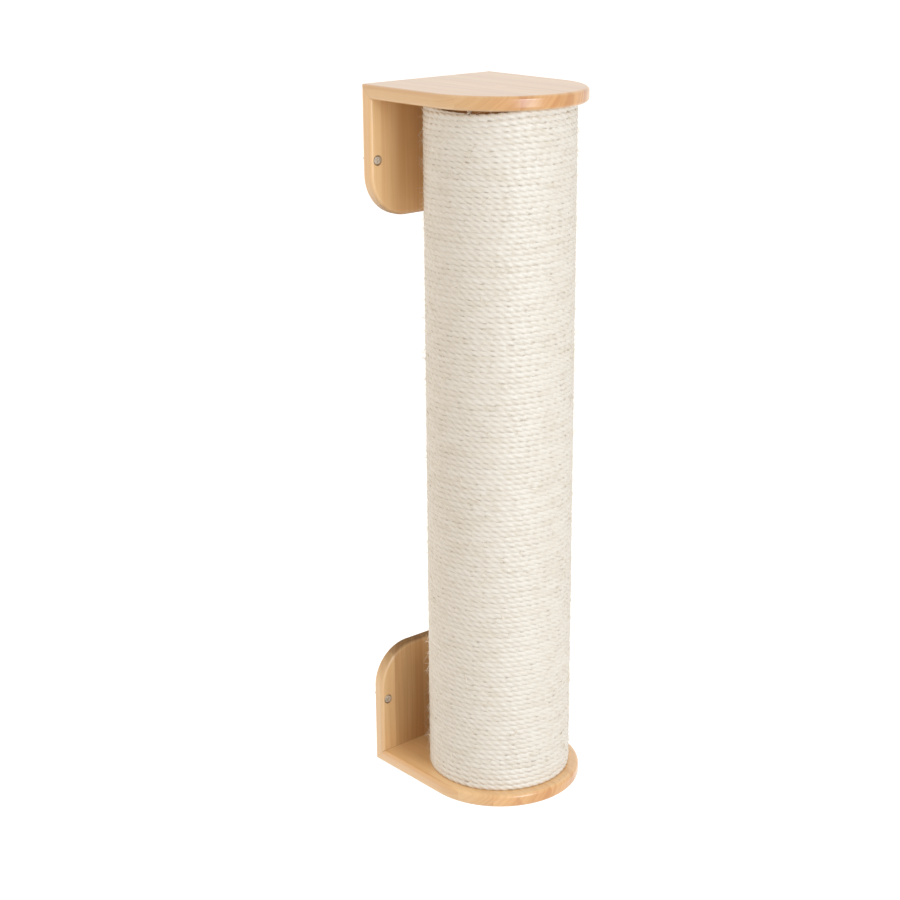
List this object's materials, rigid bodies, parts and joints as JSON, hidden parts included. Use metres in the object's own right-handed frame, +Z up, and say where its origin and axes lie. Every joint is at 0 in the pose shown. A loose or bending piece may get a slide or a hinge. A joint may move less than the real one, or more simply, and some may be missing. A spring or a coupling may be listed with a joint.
{
  "type": "cat scratching post",
  "caption": "Rope-wound cat scratching post held between mitred wooden brackets with round-fronted shelves, which screw to a wall.",
  "frame": {"origin": "On the wall plane, midway between the four wall screws", "axes": "+Z up along the post, +Y into the wall, so the post stands on the -Y side, and +X to the right seen from the front"},
  "size_m": [0.183, 0.2178, 0.782],
  "materials": {
    "pine_boards": "clear satin lacquer",
    "beech_dowels": "raw",
    "plug_wood": "raw",
    "paper_tube": "matte",
    "sisal_rope": "twisted natural fibre",
    "zinc_screws": "zinc plated",
    "zinc_bolts": "zinc plated"
  },
  "bodies": {
    "root": {"top_shelf_board": "pine_boards", "upper_wall_board": "pine_boards", "upper_mitre_dowels": "beech_dowels", "upper_wall_screws": "zinc_screws", "upper_post_bolt": "zinc_bolts", "upper_bolt_cover": "pine_boards", "upper_tee_nut": "zinc_bolts", "upper_locating_dowels": "beech_dowels", "upper_end_plug": "plug_wood", "upper_plug_nails": "zinc_screws", "bottom_shelf_board": "pine_boards", "lower_wall_board": "pine_boards", "lower_mitre_dowels": "beech_dowels", "lower_wall_screws": "zinc_screws", "lower_post_bolt": "zinc_bolts", "lower_bolt_cover": "pine_boards", "lower_tee_nut": "zinc_bolts", "lower_locating_dowels": "beech_dowels", "lower_end_plug": "plug_wood", "lower_plug_nails": "zinc_screws", "core_tube": "paper_tube", "rope_upper_turns": "sisal_rope", "rope_middle_turns": "sisal_rope", "rope_lower_turns": "sisal_rope", "upper_rope_staple": "zinc_screws", "lower_rope_staple": "zinc_screws"}
  },
  "joints": []
}
